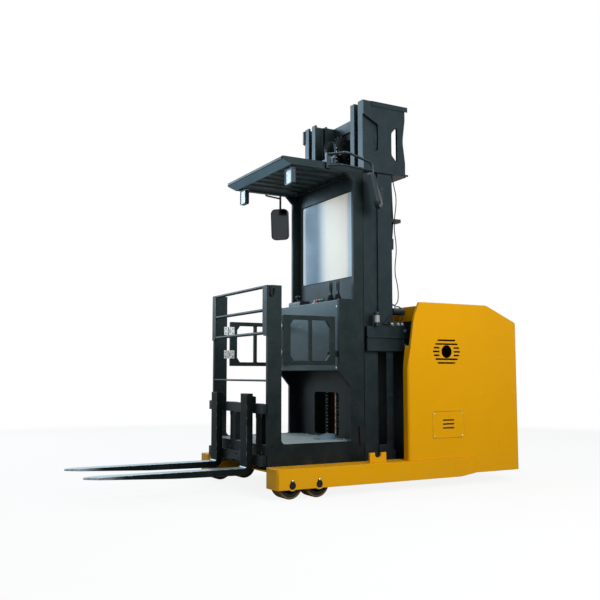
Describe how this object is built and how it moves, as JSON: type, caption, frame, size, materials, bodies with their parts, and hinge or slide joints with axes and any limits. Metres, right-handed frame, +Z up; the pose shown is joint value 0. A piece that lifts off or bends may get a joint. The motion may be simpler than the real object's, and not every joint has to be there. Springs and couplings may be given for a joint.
{
  "type": "stand-up order picker truck",
  "caption": "Stand-up order picking truck with straddle legs, telescopic mast, lifting operator cab with forks, side gates and a steered drive wheel.",
  "frame": {"origin": "on the floor, at the middle of the overall length and width", "axes": "+X the truck's left side, -Y the way the forks point, +Z up"},
  "size_m": [1.286, 3.233, 2.823],
  "materials": {
    "yellow_paint": "semi-gloss",
    "frame_paint": "satin",
    "cab_paint": "satin",
    "desk_paint": "satin",
    "battery_case": "matt",
    "fork_steel": "satin, worn to bare steel on the blades",
    "chain_steel": "oiled",
    "chrome": "polished",
    "barrel_paint": "satin",
    "hose_rubber": "matt",
    "fittings_black": "satin",
    "pedal_rubber": "matt",
    "pane_clear": "clear sheet",
    "wheel_hub": "painted black",
    "tread_polyurethane": "satin"
  },
  "bodies": {
    "chassis": {"chassis_frame": "frame_paint", "bulkhead": "frame_paint", "leg_left": "yellow_paint", "leg_right": "yellow_paint", "leg_brackets": "yellow_paint", "battery_block": "battery_case", "cowl_left": "yellow_paint", "cowl_right": "yellow_paint", "service_covers": "yellow_paint", "top_cover": "yellow_paint", "rear_panel": "yellow_paint", "outer_rail_left": "frame_paint", "outer_rail_right": "frame_paint", "mast_head": "frame_paint", "mast_support": "frame_paint", "hydraulic_fittings": "fittings_black", "mast_hoses": "hose_rubber", "lift_rod": "chrome", "chains_rear": "chain_steel"},
    "steering": {"drive_unit": "frame_paint"},
    "drive_wheel": {"drive_hub": "wheel_hub", "drive_tyre": "tread_polyurethane"},
    "wheel_front_left": {"load_hub_front_left": "wheel_hub", "load_tread_front_left": "tread_polyurethane"},
    "wheel_front_right": {"load_hub_front_right": "wheel_hub", "load_tread_front_right": "tread_polyurethane"},
    "wheel_rear_left": {"load_hub_rear_left": "wheel_hub", "load_tread_rear_left": "tread_polyurethane"},
    "wheel_rear_right": {"load_hub_rear_right": "wheel_hub", "load_tread_rear_right": "tread_polyurethane"},
    "inner_mast": {"inner_rail_left": "frame_paint", "inner_rail_right": "frame_paint", "inner_ties": "frame_paint", "chain_sheaves": "chain_steel", "lift_barrel": "barrel_paint", "chains_front": "chain_steel"},
    "cab": {"cab_side_left": "cab_paint", "cab_side_right": "cab_paint", "platform": "cab_paint", "rear_wall": "cab_paint", "rear_pane": "pane_clear", "console": "desk_paint", "controls": "fittings_black", "foot_pedal": "pedal_rubber", "roof_guard": "cab_paint", "lamps": "fittings_black", "mirrors": "fittings_black", "front_guard": "cab_paint", "fork_carriage": "cab_paint", "fork_left": "fork_steel", "fork_right": "fork_steel"},
    "gate_left": {"gate_left": "cab_paint"},
    "gate_right": {"gate_right": "cab_paint"}
  },
  "joints": [
    {"name": "mast_lift", "type": "slide", "parent": "chassis", "child": "inner_mast", "axis": [0, 0, 1], "range_m": [0, 1.65], "deforming": ["chains_rear"]},
    {"name": "cab_lift", "type": "slide", "parent": "inner_mast", "child": "cab", "axis": [0, 0, 1], "range_m": [0, 1.65], "deforming": ["chains_front"]},
    {"name": "gate_left_swing", "type": "hinge", "parent": "cab", "child": "gate_left", "pos_m": [0.428, -0.354, 1], "axis": [0, 0, 1], "range_deg": [0, 90]},
    {"name": "gate_right_swing", "type": "hinge", "parent": "cab", "child": "gate_right", "pos_m": [-0.428, -0.354, 1], "axis": [0, 0, -1], "range_deg": [0, 90]},
    {"name": "steer", "type": "hinge", "parent": "chassis", "child": "steering", "pos_m": [0, 1.25, 0.155], "axis": [0, 0, 1], "range_deg": [-90, 90]},
    {"name": "drive_spin", "type": "hinge", "parent": "steering", "child": "drive_wheel", "pos_m": [0, 1.25, 0.155], "axis": [1, 0, 0], "continuous": true},
    {"name": "spin_front_left", "type": "hinge", "parent": "chassis", "child": "wheel_front_left", "pos_m": [0.5585, -0.378, 0.09], "axis": [1, 0, 0], "continuous": true},
    {"name": "spin_front_right", "type": "hinge", "parent": "chassis", "child": "wheel_front_right", "pos_m": [-0.5585, -0.378, 0.09], "axis": [1, 0, 0], "continuous": true},
    {"name": "spin_rear_left", "type": "hinge", "parent": "chassis", "child": "wheel_rear_left", "pos_m": [0.5585, -0.178, 0.09], "axis": [1, 0, 0], "continuous": true},
    {"name": "spin_rear_right", "type": "hinge", "parent": "chassis", "child": "wheel_rear_right", "pos_m": [-0.5585, -0.178, 0.09], "axis": [1, 0, 0], "continuous": true}
  ],
  "couplings": [
    {"joint": "cab_lift", "follows": "mast_lift", "ratio": 1}
  ]
}
